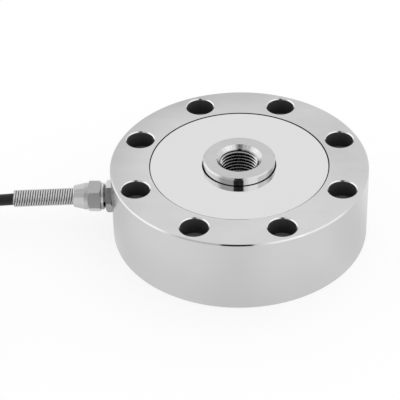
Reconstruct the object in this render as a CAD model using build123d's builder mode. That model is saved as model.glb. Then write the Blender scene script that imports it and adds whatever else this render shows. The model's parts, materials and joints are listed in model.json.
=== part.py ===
from build123d import *
from math import atan2, cos, degrees, hypot, pi, radians, sin, sqrt, tan
import os

# Pancake load cell, in millimetres.
# The origin is the centre of the ring's base. +Z is the load axis and points up. The cable leaves towards -X.

os.makedirs("parts", exist_ok=True)

# Ring and hub
body_diameter = 104.8
body_height = 31.8
body_edge = 0.5
loading_height = 34.9
hub_diameter = 29.2
hub_edge = 0.6
hub_foot_clearance = 0.8
thread_diameter = 16.0
thread_lead_in = 1.4

# Fixing holes
bolt_count = 8
bolt_edge_distance = 7.95
bolt_hole_diameter = 7.0
bolt_head_bore = 11.3
bolt_head_depth = 7.5
bolt_hole_rim = 0.55

# Cover discs and their seats in the ring
cover_land = 2.7
cover_thickness = 1.0
cover_recess = 0.25
cover_seat_width = 1.9
cover_rim_gap = 0.4
cover_hub_gap = 0.4
cover_edge = 0.15

# Spokes that carry the load from the hub to the ring
cavity_height = 4.6
hub_root_diameter = 38.0
pocket_ledge = 2.2
pocket_corner = 2.5
spoke_count = 4
spoke_width = 10.0
spoke_start_angle = 45.0
shear_web_thickness = 2.4
gauge_recess_diameter = 12.0

# Strain gauges
gauge_length = 8.0
gauge_width = 5.6
gauge_thickness = 0.25
gauge_corner = 0.6
grid_angle = 45.0
grid_line_width = 0.35
grid_line_length = 3.6
grid_line_pitch = 0.8
grid_line_height = 0.1
grid_line_count = 3
solder_tab_radius = 0.5
solder_tab_height = 0.4
solder_tab_spacing = 1.2
solder_tab_rise = 2.0

# Cable gland
gland_height = 15.5
spot_face_diameter = 14.0
spot_face_depth = 0.45
gland_thread_diameter = 8.0
gland_thread_length = 9.0
thread_clearance = 0.05
hex_across_flats = 11.6
hex_end_angle = 30.0
hex_end_step = 0.15
body_hex_length = 2.95
body_hex_turn = 7.4
gland_neck_diameter = 9.6
gland_neck_length = 0.8
gland_collar_diameter = 11.1
gland_collar_length = 0.9
nut_thread_diameter = 9.0
nut_thread_length = 5.2
nut_hex_length = 5.35
nut_hex_turn = 47.4
nut_start_gap = 0.15
nose_length = 6.2
nose_start_diameter = 11.1
nose_end_diameter = 9.1
nose_end_chamfer = 0.4
nut_web_thickness = 1.6
seal_diameter = 7.0
seal_length = 4.0
seal_clearance = 0.02
thrust_washer_diameter = 8.6
thrust_washer_thickness = 0.8
o_ring_width = 1.1
o_ring_seat_depth = 0.8
o_ring_mean_diameter = 9.2
o_ring_seat_diameter = 11.0

# Spring strain relief
spring_wire = 1.0
spring_diameter = 7.1
spring_turn_gap = 0.02
spring_turns = 28
spring_bore_clearance = 0.2
spring_seat_gap = 0.2
spring_droop = 2.6

# Cable and its cores
cable_diameter = 4.8
cable_bore_clearance = 0.25
cable_passage_diameter = 5.6
cable_strip_length = 1.0
spring_mouth_depth = 2.0
core_diameter = 1.1
core_spacing = 1.5
core_board_pitch = 3.2
core_bend = 1.6
core_run_out = 3.0
core_turn_up = 4.0
core_stand_out = 0.3
cable_droop_bend = 150.0
route_share = 0.45
lead_first_run = 12.0
lead_reach = 58.4
lead_drift = 13.7
lead_shares = ((0.418, 0.088, 0.71), (0.623, 0.321, 0.445))
lead_floor_shares = ((0.812, 0.628), (1.0, 1.0))

# Compensation board
board_thickness = 1.0
board_half_angle = 27.0
board_edge_gap = 0.4
core_hole_clearance = 0.1
bobbin_angle = 14.0
bobbin_radius_from_axis = 19.5
bobbin_diameter = 3.2
bobbin_length = 2.2
bobbin_flange = 0.4
bobbin_waist_diameter = 2.2
chip_angle = 14.0
chip_edge_gap = 2.4
chip_length = 3.2
chip_width = 1.6
chip_height = 0.8
chip_cap_length = 0.6
chip_cap_step = 0.1

# Gauge harness
loom_diameter = 1.4
loom_sides = 6
loom_rise = 0.05
lead_pair_diameter = 0.8
lead_side_gap = 1.2
lead_bend = 1.0

# Coil of the cable that is put away, and the end of the cable on top of it
coil_turn_pitch = 4.9
coil_columns = 4
coil_layers = 4
coil_mid_radius = 28.0
coil_wrap = 0.1
coil_corner = 2.3
coil_port_length = 19.0
rise_start_angle = -80.0
rise_corner_angle = -50.0
rise_corner_radius = 33.0
rise_corner_lift = 1.3
tail_start_angle = -5.0
tail_radius = 29.0
tail_step_angle = 30.0
tail_steps = 3
tail_straight = 7.0
tail_gap = 0.05
tie_width = 4.0
tie_thickness = 0.7
tie_gap = 0.3
tie_angles = (207.0, 264.0)

# Bare ends of the cores
core_end_run = 6.0
core_end_drop_angle = 38.0
core_end_step_angle = 20.0
core_end_steps = 3
core_end_pitch = 1.8
conductor_diameter = 0.6
conductor_length = 6.0
drain_diameter = 0.8
drain_offset = 1.75
drain_steps = 2

# Values worked out from the sizes above
body_radius = body_diameter / 2
hub_radius = hub_diameter / 2
thread_radius = thread_diameter / 2
bolt_circle_radius = body_radius - bolt_edge_distance
cover_radius = bolt_circle_radius - bolt_head_bore / 2 - cover_land
seat_radius = cover_radius + cover_rim_gap
seat_depth = cover_recess + cover_thickness
cavity_radius = cover_radius - cover_seat_width
hub_root_radius = hub_root_diameter / 2
pocket_outer_radius = cavity_radius - pocket_ledge
web_floor = seat_depth + cavity_height
web_top = body_height - web_floor
web_height = web_top - web_floor
mid_height = body_height / 2
gauge_radius = (hub_root_radius + pocket_outer_radius) / 2
gauge_recess_depth = (spoke_width - shear_web_thickness) / 2
bolt_start_angle = 180 / bolt_count
cable_radius = cable_diameter / 2
cable_bore_radius = cable_radius + cable_bore_clearance


def rims(part, radius, height):
    """The round edges of one radius at one height."""
    circles = part.edges().filter_by(GeomType.CIRCLE)
    return circles.filter_by(
        lambda rim: abs(rim.radius - radius) < 0.001 and abs(rim.arc_center.Z - height) < 0.001
    )


def polar(radius, angle, height):
    """A point at a radius and an angle about the load axis."""
    return Vector(radius * cos(radians(angle)), radius * sin(radians(angle)), height)


def spoke_side(spoke, side):
    """A plane on the middle of one side of a spoke, facing away from it, with its y axis up."""
    angle = spoke_start_angle + spoke * 360 / spoke_count
    away = polar(1, angle + 90 * side, 0)
    middle = polar(gauge_radius, angle, mid_height) + away * (spoke_width / 2)
    return Plane(origin=middle, x_dir=polar(1, angle + 90 * side + 90, 0), z_dir=away)


# Sensing body: ring, hub and spokes in one piece
gland_seat_x = -(body_radius - spot_face_depth)
gland_seat = Vector(gland_seat_x, 0, gland_height)
gland_face = Plane(origin=gland_seat, x_dir=(0, -1, 0), z_dir=(-1, 0, 0))

with BuildPart() as sensing_body:
    with BuildSketch(Plane.XZ) as turned_section:
        with BuildLine():
            Polyline(
                (thread_radius, hub_foot_clearance),
                (hub_radius, hub_foot_clearance),
                (hub_radius, web_floor),
                (cavity_radius, web_floor),
                (cavity_radius, seat_depth),
                (seat_radius, seat_depth),
                (seat_radius, 0),
                (body_radius, 0),
                (body_radius, body_height),
                (seat_radius, body_height),
                (seat_radius, body_height - seat_depth),
                (cavity_radius, body_height - seat_depth),
                (cavity_radius, web_top),
                (hub_radius, web_top),
                (hub_radius, loading_height),
                (thread_radius, loading_height),
                close=True,
            )
        make_face()
    revolve(axis=Axis.Z)
    chamfer(rims(sensing_body.part, body_radius, body_height), body_edge)
    chamfer(rims(sensing_body.part, body_radius, 0), body_edge)
    chamfer(rims(sensing_body.part, hub_radius, loading_height), hub_edge)
    chamfer(rims(sensing_body.part, thread_radius, loading_height), thread_lead_in)
    chamfer(rims(sensing_body.part, thread_radius, hub_foot_clearance), thread_lead_in)

    with BuildSketch(Plane.XY.offset(web_floor)) as pockets:
        Circle(pocket_outer_radius)
        Circle(hub_root_radius, mode=Mode.SUBTRACT)
        with PolarLocations(0, spoke_count, start_angle=spoke_start_angle):
            Rectangle(
                body_radius, spoke_width, align=(Align.MIN, Align.CENTER), mode=Mode.SUBTRACT
            )
        fillet(pockets.vertices(), pocket_corner)
    extrude(amount=web_height, mode=Mode.SUBTRACT)

    for spoke in range(spoke_count):
        for side in (-1, 1):
            with BuildSketch(spoke_side(spoke, side)):
                Circle(gauge_recess_diameter / 2)
            extrude(amount=-gauge_recess_depth, mode=Mode.SUBTRACT)

    with Locations(Plane.XY.offset(body_height)):
        with PolarLocations(bolt_circle_radius, bolt_count, start_angle=bolt_start_angle):
            CounterBoreHole(bolt_hole_diameter / 2, bolt_head_bore / 2, bolt_head_depth)
    chamfer(rims(sensing_body.part, bolt_head_bore / 2, body_height), bolt_hole_rim)

    with BuildSketch(gland_face):
        Circle(spot_face_diameter / 2)
    extrude(amount=spot_face_depth, mode=Mode.SUBTRACT)
    with BuildSketch(gland_face):
        Circle(o_ring_seat_diameter / 2)
    extrude(amount=-o_ring_seat_depth, mode=Mode.SUBTRACT)
    with BuildSketch(gland_face):
        Circle(gland_thread_diameter / 2)
    extrude(amount=-(gland_thread_length + thread_clearance), mode=Mode.SUBTRACT)
    with BuildSketch(gland_face):
        Circle(cable_passage_diameter / 2)
    extrude(amount=-(body_radius - hub_root_radius - pocket_corner), mode=Mode.SUBTRACT)
sensing_body.part.label = "sensing_body"
export_step(sensing_body.part, "parts/sensing_body.step")

# Cover discs
for cover_name, cover_underside in (
    ("top_cover", body_height - seat_depth),
    ("bottom_cover", cover_recess),
):
    with BuildPart() as cover:
        with BuildSketch(Plane.XY.offset(cover_underside)):
            Circle(cover_radius)
            Circle(hub_radius + cover_hub_gap, mode=Mode.SUBTRACT)
        extrude(amount=cover_thickness)
        chamfer(cover.edges(), cover_edge)
    cover.part.label = cover_name
    export_step(cover.part, f"parts/{cover_name}.step")

# Strain gauges on the floors of the spokes' recesses
for spoke in range(spoke_count):
    for side in (-1, 1):
        recess_floor = spoke_side(spoke, side).offset(-gauge_recess_depth)
        with BuildPart() as strain_gauge:
            with BuildSketch(recess_floor) as backing:
                RectangleRounded(gauge_length, gauge_width, gauge_corner)
            extrude(amount=gauge_thickness)
            with BuildSketch(recess_floor.offset(gauge_thickness)) as grids:
                for half in (-1, 1):
                    with Locations(Location((half * gauge_length / 4, 0), grid_angle * half)):
                        with GridLocations(grid_line_pitch, 0, grid_line_count, 1):
                            Rectangle(grid_line_width, grid_line_length)
            extrude(amount=grid_line_height)
            with BuildSketch(recess_floor.offset(gauge_thickness)) as solder_tabs:
                with Locations((0, solder_tab_rise)):
                    with GridLocations(solder_tab_spacing, 0, 2, 1):
                        Circle(solder_tab_radius)
            extrude(amount=solder_tab_height)
        gauge_name = f"strain_gauge_{2 * spoke + (side + 3) // 2}"
        strain_gauge.part.label = gauge_name
        export_step(strain_gauge.part, f"parts/{gauge_name}.step")

# Compensation board, laid over the pocket that the cable comes into
board_top = web_top + board_thickness
core_hole_x = -(hub_root_radius + pocket_outer_radius) / 2
core_hole_ys = [core_board_pitch * (place - 1.5) for place in range(4)]

with BuildPart() as compensation_board:
    with BuildSketch(Plane.XY.offset(web_top)):
        Circle(cavity_radius - board_edge_gap)
        Circle(hub_radius + board_edge_gap, mode=Mode.SUBTRACT)
        with BuildLine():
            Polyline(
                (0, 0),
                polar(body_radius, 180 - board_half_angle, 0),
                polar(body_radius, 180 + board_half_angle, 0),
                close=True,
            )
        make_face(mode=Mode.INTERSECT)
        with Locations(*[(core_hole_x, y) for y in core_hole_ys]):
            Circle(core_diameter / 2 + core_hole_clearance, mode=Mode.SUBTRACT)
    extrude(amount=board_thickness)
compensation_board.part.label = "compensation_board"
export_step(compensation_board.part, "parts/compensation_board.step")

# Wound trimming resistors, on their spools
for resistor_name, resistor_angle in (
    ("span_resistor", 180 - bobbin_angle),
    ("zero_resistor", 180 + bobbin_angle),
):
    spool_foot = Plane(origin=polar(bobbin_radius_from_axis, resistor_angle, board_top))
    with BuildPart() as wound_resistor:
        with BuildSketch(spool_foot):
            Circle(bobbin_diameter / 2)
        extrude(amount=bobbin_flange)
        with BuildSketch(spool_foot.offset(bobbin_flange)):
            Circle(bobbin_waist_diameter / 2)
        extrude(amount=bobbin_length - 2 * bobbin_flange)
        with BuildSketch(spool_foot.offset(bobbin_length - bobbin_flange)):
            Circle(bobbin_diameter / 2)
        extrude(amount=bobbin_flange)
    wound_resistor.part.label = resistor_name
    export_step(wound_resistor.part, f"parts/{resistor_name}.step")

# Chip resistors
for resistor_name, resistor_angle in (
    ("input_resistor", 180 - chip_angle),
    ("output_resistor", 180 + chip_angle),
):
    chip_foot = Plane(
        origin=polar(cavity_radius - chip_edge_gap - chip_width / 2, resistor_angle, board_top),
        x_dir=polar(1, resistor_angle + 90, 0),
    )
    with BuildPart() as chip_resistor:
        with BuildSketch(chip_foot):
            Rectangle(chip_length, chip_width)
        extrude(amount=chip_height - chip_cap_step)
        with BuildSketch(chip_foot):
            with GridLocations(chip_length - chip_cap_length, 0, 2, 1):
                Rectangle(chip_cap_length, chip_width)
        extrude(amount=chip_height)
    chip_resistor.part.label = resistor_name
    export_step(chip_resistor.part, f"parts/{resistor_name}.step")

# Harness: a loom laid over the spokes, with a pair of leads down to each gauge
loom_path_radius = hypot(gauge_radius, spoke_width / 2 + lead_side_gap)
loom_height = web_top + loom_diameter / 2 + loom_rise
tab_top = gauge_thickness + solder_tab_height - gauge_recess_depth

with BuildPart() as gauge_harness:
    with BuildLine() as loom_line:
        CenterArc(
            (0, 0, loom_height), loom_path_radius, board_half_angle - 180, 360 - 2 * board_half_angle
        )
    with BuildSketch(Plane(origin=loom_line.line @ 0, z_dir=loom_line.line % 0)):
        RegularPolygon(loom_diameter / 2, loom_sides)
    sweep()
    for spoke in range(spoke_count):
        for side in (-1, 1):
            beside = spoke_side(spoke, side)
            foot = beside.from_local_coords((0, solder_tab_rise, lead_side_gap))
            tab = beside.from_local_coords((0, solder_tab_rise, tab_top))
            with BuildLine() as lead_line:
                FilletPolyline(Vector(foot.X, foot.Y, loom_height), foot, tab, radius=lead_bend)
            with BuildSketch(Plane(origin=lead_line.line @ 0, z_dir=lead_line.line % 0)):
                RegularPolygon(lead_pair_diameter / 2, loom_sides)
            sweep()
gauge_harness.part.label = "gauge_harness"
export_step(gauge_harness.part, "parts/gauge_harness.step")

# Gland, turned about its own axis: stations are distances out from its seat on the ring
gland_axis = Axis(gland_seat, (-1, 0, 0))
gland_section = Plane(origin=gland_seat, x_dir=(-1, 0, 0), z_dir=(0, 1, 0))
collar_start = body_hex_length + gland_neck_length
collar_end = collar_start + gland_collar_length
nut_start = collar_end + nut_start_gap
nut_hex_end = nut_start + nut_hex_length
nose_end = nut_hex_end + nose_length
gland_end = nut_start + nut_thread_length
nut_web_start = gland_end + thrust_washer_thickness
nut_web_end = nut_web_start + nut_web_thickness
hex_corner_radius = hex_across_flats / sqrt(3)
hex_end_radius = hex_across_flats / 2 - hex_end_step
hex_end_length = (hex_corner_radius - hex_end_radius) * tan(radians(hex_end_angle))


def turned_hexagon(start, length, turn):
    """A hexagon along the gland, with the corners of both its ends turned off."""
    with BuildPart() as hexagon:
        with BuildSketch(gland_section):
            with BuildLine():
                Polyline(
                    (start, 0),
                    (start, hex_end_radius),
                    (start + hex_end_length, hex_corner_radius),
                    (start + length - hex_end_length, hex_corner_radius),
                    (start + length, hex_end_radius),
                    (start + length, 0),
                    close=True,
                )
            make_face()
        revolve(axis=gland_axis)
        with BuildSketch(gland_face.offset(start)):
            RegularPolygon(hex_across_flats / 2, 6, major_radius=False, rotation=turn)
        extrude(amount=length, mode=Mode.INTERSECT)
    return hexagon.part


body_hexagon = turned_hexagon(0, body_hex_length, body_hex_turn)
nut_hexagon = turned_hexagon(nut_start, nut_hex_length, nut_hex_turn)

with BuildPart() as gland_body:
    add(body_hexagon)
    with BuildSketch(gland_section):
        with BuildLine():
            Polyline(
                (-gland_thread_length, 0),
                (-gland_thread_length, gland_thread_diameter / 2 - thread_clearance),
                (0, gland_thread_diameter / 2 - thread_clearance),
                (0, gland_neck_diameter / 2),
                (collar_start, gland_neck_diameter / 2),
                (collar_start, gland_collar_diameter / 2),
                (collar_end, gland_collar_diameter / 2),
                (collar_end, nut_thread_diameter / 2 - thread_clearance),
                (gland_end, nut_thread_diameter / 2 - thread_clearance),
                (gland_end, 0),
                close=True,
            )
        make_face()
    revolve(axis=gland_axis)
    with BuildSketch(gland_section):
        with BuildLine():
            Polyline(
                (-gland_thread_length, 0),
                (-gland_thread_length, cable_bore_radius),
                (gland_end - seal_length, cable_bore_radius),
                (gland_end - seal_length, seal_diameter / 2),
                (gland_end, seal_diameter / 2),
                (gland_end, 0),
                close=True,
            )
        make_face()
    revolve(axis=gland_axis, mode=Mode.SUBTRACT)
gland_body.part.label = "gland_body"
export_step(gland_body.part, "parts/gland_body.step")

with BuildPart() as gland_nut:
    add(nut_hexagon)
    with BuildSketch(gland_section):
        with BuildLine():
            Polyline(
                (nut_hex_end, 0),
                (nut_hex_end, nose_start_diameter / 2),
                (nose_end - nose_end_chamfer, nose_end_diameter / 2),
                (nose_end, nose_end_diameter / 2 - nose_end_chamfer),
                (nose_end, 0),
                close=True,
            )
        make_face()
    revolve(axis=gland_axis)
    with BuildSketch(gland_section):
        with BuildLine():
            Polyline(
                (nut_start, 0),
                (nut_start, nut_thread_diameter / 2),
                (nut_web_start, nut_thread_diameter / 2),
                (nut_web_start, cable_bore_radius),
                (nut_web_end, cable_bore_radius),
                (nut_web_end, spring_diameter / 2 + spring_bore_clearance),
                (nose_end, spring_diameter / 2 + spring_bore_clearance),
                (nose_end, 0),
                close=True,
            )
        make_face()
    revolve(axis=gland_axis, mode=Mode.SUBTRACT)
gland_nut.part.label = "gland_nut"
export_step(gland_nut.part, "parts/gland_nut.step")

# Round pieces inside the gland: name, start, end, hole radius, outer radius
for ring_name, ring_start, ring_end, ring_hole, ring_outside in (
    ("gland_seal", gland_end - seal_length, gland_end, cable_radius + seal_clearance, seal_diameter / 2),
    ("thrust_washer", gland_end, nut_web_start, cable_bore_radius, thrust_washer_diameter / 2),
):
    with BuildPart() as gland_ring:
        with BuildSketch(gland_face.offset(ring_start)):
            Circle(ring_outside)
            Circle(ring_hole, mode=Mode.SUBTRACT)
        extrude(amount=ring_end - ring_start)
    gland_ring.part.label = ring_name
    export_step(gland_ring.part, f"parts/{ring_name}.step")

with BuildPart() as gland_o_ring:
    with BuildSketch(gland_section):
        with Locations((-o_ring_seat_depth / 2, o_ring_mean_diameter / 2)):
            Rectangle(o_ring_seat_depth, o_ring_width)
    revolve(axis=gland_axis)
gland_o_ring.part.label = "gland_o_ring"
export_step(gland_o_ring.part, "parts/gland_o_ring.step")

# Spring strain relief: close-wound turns, as rings, that leave the nut's nose and droop with the cable
droop_direction = Vector(-cos(radians(spring_droop)), 0, -sin(radians(spring_droop)))
spring_start = gland_face.offset(nut_web_end + spring_seat_gap).origin
spring_pitch = spring_wire + spring_turn_gap
spring_length = spring_turns * spring_pitch
spring_outer_radius = spring_diameter / 2
turn_flat = spring_pitch / 2
turn_slope = spring_pitch / 4

with BuildPart() as strain_relief_spring:
    with BuildSketch(Plane(origin=spring_start, x_dir=droop_direction, z_dir=(0, 1, 0))):
        with BuildLine():
            outline = [(0, spring_outer_radius - spring_wire)]
            for turn in range(spring_turns):
                turn_start = turn * spring_pitch
                outline += [
                    (turn_start, spring_outer_radius - spring_wire / 2),
                    (turn_start + turn_slope, spring_outer_radius),
                    (turn_start + turn_slope + turn_flat, spring_outer_radius),
                ]
            outline.append((spring_length, spring_outer_radius - spring_wire / 2))
            outline.append((spring_length, spring_outer_radius - spring_wire))
            Polyline(*outline, close=True)
        make_face()
    revolve(axis=Axis(spring_start, droop_direction))
strain_relief_spring.part.label = "strain_relief_spring"
export_step(strain_relief_spring.part, "parts/strain_relief_spring.step")

# Cable inside the body, the gland and the spring
cable_strip_x = -(pocket_outer_radius - cable_strip_length)
cable_exit = spring_start + droop_direction * (spring_length - spring_mouth_depth)

with BuildPart() as cable_in_gland:
    with BuildLine() as cable_line:
        FilletPolyline((cable_strip_x, 0, gland_height), spring_start, cable_exit, radius=cable_droop_bend)
    with BuildSketch(Plane(origin=cable_line.line @ 0, z_dir=cable_line.line % 0)):
        Circle(cable_radius)
    sweep()
cable_in_gland.part.label = "cable_in_gland"
export_step(cable_in_gland.part, "parts/cable_in_gland.step")

# Cores, from the end of the cable's jacket up through the board: colour, side, up, hole, lane at the far end
half_spacing = core_spacing / 2
cores = (
    ("red", -half_spacing, -half_spacing, core_hole_ys[0], -1),
    ("black", -half_spacing, half_spacing, core_hole_ys[1], -2),
    ("green", half_spacing, half_spacing, core_hole_ys[2], 2),
    ("white", half_spacing, -half_spacing, core_hole_ys[3], 1),
)

for colour, core_side, core_up, core_hole_y, _ in cores:
    core_start = Vector(cable_strip_x, core_side, gland_height + core_up)
    with BuildPart() as core_inside:
        with BuildLine() as core_line:
            FilletPolyline(
                core_start,
                core_start + Vector(core_run_out, 0, 0),
                (core_hole_x, core_hole_y, gland_height + core_turn_up),
                (core_hole_x, core_hole_y, board_top + core_stand_out),
                radius=core_bend,
            )
        with BuildSketch(Plane(origin=core_line.line @ 0, z_dir=core_line.line % 0)):
            Circle(core_diameter / 2)
        sweep()
    core_inside.part.label = f"core_{colour}_inside"
    export_step(core_inside.part, f"parts/core_{colour}_inside.step")


def route_radii(route):
    """The arc that the two runs at each corner of a route leave room for."""
    radii = []
    for before, corner, after in zip(route, route[1:], route[2:]):
        arriving = corner - before
        leaving = after - corner
        shorter = min(arriving.length, leaving.length)
        radii.append(route_share * shorter / tan(radians(arriving.get_angle(leaving) / 2)))
    return radii


# Free cable: down from the spring to the floor and into the coil
coil_floor = tie_thickness + coil_wrap + cable_radius
lead_route = [cable_exit, cable_exit + droop_direction * lead_first_run]
for reach, drift, rise in lead_shares:
    lead_route.append(Vector(cable_exit.X - reach * lead_reach, -drift * lead_drift, rise * gland_height))
for reach, drift in lead_floor_shares:
    lead_route.append(Vector(cable_exit.X - reach * lead_reach, -drift * lead_drift, coil_floor))

# Coil: its centre lies square to the end of the free cable
lead_end = lead_route[-1]
coil_heading = (lead_end - lead_route[-2]).normalized()
coil_half_width = (coil_columns - 1) * coil_turn_pitch / 2
coil_turn_radius = coil_mid_radius + coil_half_width
coil_entry = lead_end + coil_heading * coil_port_length
coil_centre = coil_entry + Vector(-coil_heading.Y, coil_heading.X, 0) * coil_turn_radius
coil_entry_angle = degrees(atan2(coil_entry.Y - coil_centre.Y, coil_entry.X - coil_centre.X))
coil_top_layer = coil_floor + (coil_layers - 1) * coil_turn_pitch
coil_top = coil_top_layer + cable_radius + coil_wrap
coil_height = coil_top - tie_thickness
coil_outer_radius = coil_turn_radius + cable_radius + coil_wrap
coil_inner_radius = coil_mid_radius - coil_half_width - cable_radius - coil_wrap


def on_coil(radius, angle, height):
    """A point by its radius and its angle from the cable's entry, about the coil's axis."""
    return Vector(coil_centre.X, coil_centre.Y, 0) + polar(radius, coil_entry_angle + angle, height)


def coil_direction(angle):
    """The way that the turns run at an angle from the cable's entry."""
    return polar(1, coil_entry_angle + angle + 90, 0)


# The cable's end climbs from the top layer and lies on the coil as part of one more turn
tail_height = coil_top + cable_radius + tail_gap
tail_corner_radius = tail_radius / cos(radians(tail_step_angle / 2))
end_route = [
    on_coil(coil_turn_radius, rise_start_angle, coil_top_layer),
    on_coil(rise_corner_radius, rise_corner_angle, coil_top_layer + rise_corner_lift),
]
for step in range(-1, tail_steps):
    corner_angle = tail_start_angle + (step + 0.5) * tail_step_angle
    end_route.append(on_coil(tail_corner_radius, corner_angle, tail_height))
tail_end_angle = tail_start_angle + tail_steps * tail_step_angle
tail_end_heading = coil_direction(tail_end_angle)
tail_end = on_coil(tail_radius, tail_end_angle, tail_height) + tail_end_heading * tail_straight
end_route.append(tail_end)

# The part of it inside the coil's outline belongs to the coil, and the rest is the tail
tail_start = (end_route[2] + end_route[3]) * 0.5
end_radii = route_radii(end_route)
rise_route = end_route[:3] + [tail_start]
tail_route = [tail_start] + end_route[3:]


def run_tube(name, route, radii, diameter):
    """A tube along a route with an arc at each corner, written as a piece of its own."""
    with BuildPart() as tube:
        with BuildLine() as line:
            FilletPolyline(*route, radius=radii)
        with BuildSketch(Plane(origin=line.line @ 0, z_dir=line.line % 0)):
            Circle(diameter / 2)
        sweep()
    length = sum(edge.length for edge in line.edges())
    section = pi * diameter**2 / 4
    print(name, "radii", [round(radius, 1) for radius in radii], "length", round(length, 1), end=" ")
    print("volume", round(tube.part.volume, 1), "section times length", round(section * length, 1))
    tube.part.label = name
    export_step(tube.part, f"parts/{name}.step")


run_tube("cable_lead", lead_route, route_radii(lead_route), cable_diameter)
run_tube("cable_tail", tail_route, end_radii[2:], cable_diameter)

with BuildPart() as cable_coil:
    with BuildSketch(Plane(origin=(coil_centre.X, coil_centre.Y, tie_thickness))):
        Circle(coil_outer_radius)
        Circle(coil_inner_radius, mode=Mode.SUBTRACT)
    extrude(amount=coil_height)
    chamfer(cable_coil.edges().filter_by(GeomType.CIRCLE), coil_corner / 2)
    with BuildSketch(Plane(origin=coil_entry, z_dir=-coil_heading)):
        Circle(cable_radius)
    extrude(amount=coil_port_length)
    with BuildLine() as rise_line:
        FilletPolyline(*rise_route, radius=end_radii[:2])
    with BuildSketch(Plane(origin=rise_line.line @ 0, z_dir=rise_line.line % 0)):
        Circle(cable_radius)
    sweep()
print("cable_coil rise radii", [round(radius, 1) for radius in end_radii[:2]])
cable_coil.part.label = "cable_coil"
export_step(cable_coil.part, "parts/cable_coil.step")

# Ties round the coil
for tie_index, tie_angle in enumerate(tie_angles, start=1):
    tie_plane = Plane(
        origin=on_coil(coil_mid_radius, tie_angle, tie_thickness + coil_height / 2),
        x_dir=polar(1, coil_entry_angle + tie_angle, 0),
        z_dir=coil_direction(tie_angle),
    )
    window_width = 2 * (coil_half_width + cable_radius + coil_wrap + tie_gap)
    with BuildPart() as cable_tie:
        with BuildSketch(tie_plane.offset(-tie_width / 2)):
            RectangleRounded(
                window_width + 2 * tie_thickness,
                coil_height + 2 * tie_thickness,
                coil_corner / 2 + tie_thickness,
            )
            RectangleRounded(window_width, coil_height, coil_corner / 2, mode=Mode.SUBTRACT)
        extrude(amount=tie_width)
    cable_tie.part.label = f"cable_tie_{tie_index}"
    export_step(cable_tie.part, f"parts/cable_tie_{tie_index}.step")

# Bare ends: the cores drop from the jacket onto the coil and lie round it, each with a tinned tip
tail_side = Vector(-tail_end_heading.Y, tail_end_heading.X, 0)
for colour, core_side, core_up, _, core_lane in cores:
    core_start = tail_end + tail_side * core_side + Vector(0, 0, core_up)
    lane_radius = tail_radius - core_lane * core_end_pitch
    core_height = coil_top + core_diameter / 2 + tail_gap
    core_route = [core_start, core_start + tail_end_heading * core_end_run]
    for step in range(core_end_steps + 1):
        lane_angle = tail_end_angle + core_end_drop_angle + step * core_end_step_angle
        core_route.append(on_coil(lane_radius, lane_angle, core_height))
    run_tube(f"core_{colour}_end", core_route, route_radii(core_route), core_diameter)
    core_end = core_route[-1]
    with BuildPart() as conductor:
        with BuildSketch(Plane(origin=core_end, z_dir=core_end - core_route[-2])):
            Circle(conductor_diameter / 2)
        extrude(amount=conductor_length)
    conductor.part.label = f"{colour}_conductor"
    export_step(conductor.part, f"parts/{colour}_conductor.step")

drain_start = tail_end - Vector(0, 0, drain_offset)
drain_height = coil_top + drain_diameter / 2 + tail_gap
drain_route = [drain_start, drain_start + tail_end_heading * core_end_run]
for step in range(drain_steps + 1):
    lane_angle = tail_end_angle + core_end_drop_angle + step * core_end_step_angle
    drain_route.append(on_coil(tail_radius, lane_angle, drain_height))
run_tube("shield_drain", drain_route, route_radii(drain_route), drain_diameter)
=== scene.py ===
# %% [markdown]
# # A pancake load cell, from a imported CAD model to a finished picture
#
# A pancake load cell weighs what is screwed into its hub. A thick steel ring is bolted down through eight holes, and
# the hub hangs in its middle on spokes that bend by a few thousandths of a millimetre. Thin polished discs close
# both sides, and one cable leaves through a small gland with a spring round it.
#
# The CAD model gives every size. This script keeps those sizes and gives the metal its shine: turned pieces are
# made again with finer steps, so that they reflect smoothly, and each material gets its own surface.

# %% Load the frame
import json
from math import atan2, cos, degrees, pi, radians, sin, sqrt, tan

import bmesh
import bpy
from mathutils import Matrix, Vector

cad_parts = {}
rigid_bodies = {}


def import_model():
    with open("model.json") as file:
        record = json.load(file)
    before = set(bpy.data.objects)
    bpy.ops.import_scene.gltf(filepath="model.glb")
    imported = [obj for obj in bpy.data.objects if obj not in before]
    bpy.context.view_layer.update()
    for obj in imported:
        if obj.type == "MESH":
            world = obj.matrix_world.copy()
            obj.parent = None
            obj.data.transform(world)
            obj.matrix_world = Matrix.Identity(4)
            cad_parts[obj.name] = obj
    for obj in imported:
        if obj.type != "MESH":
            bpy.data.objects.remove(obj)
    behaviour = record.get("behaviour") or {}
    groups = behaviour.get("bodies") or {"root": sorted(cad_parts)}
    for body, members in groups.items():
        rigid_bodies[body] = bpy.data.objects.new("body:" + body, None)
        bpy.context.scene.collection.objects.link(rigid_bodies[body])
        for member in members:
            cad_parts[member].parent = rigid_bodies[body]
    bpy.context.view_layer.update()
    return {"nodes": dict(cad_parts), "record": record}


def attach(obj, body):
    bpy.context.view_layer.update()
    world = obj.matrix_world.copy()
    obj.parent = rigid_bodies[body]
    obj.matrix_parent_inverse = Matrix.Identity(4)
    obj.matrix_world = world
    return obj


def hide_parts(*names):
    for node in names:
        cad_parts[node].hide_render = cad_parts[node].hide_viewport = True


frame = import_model()
scene = bpy.context.scene
MM = 0.001
print("CAD pieces:", len(frame["nodes"]))

# %% [markdown]
# ## Camera
#
# The picture was taken from a little above, at about 37 degrees, through a long lens. The object sits right of the
# middle, so the camera is aimed a little to the left of the hub and a little above it, and turned by a degree and a
# half round its own line of sight.

# %% Camera
IMAGE_WIDTH = 400
SENSOR_WIDTH = 36.0
FOCAL_PIXELS = 1689.94
CAMERA_DISTANCE = 703.487 * MM
CAMERA_ELEVATION = 0.6543
CAMERA_AZIMUTH = -0.0451
CAMERA_ROLL = 0.0276
AIM_RIGHT = -16.27 * MM
AIM_UP = 11.09 * MM

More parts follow.
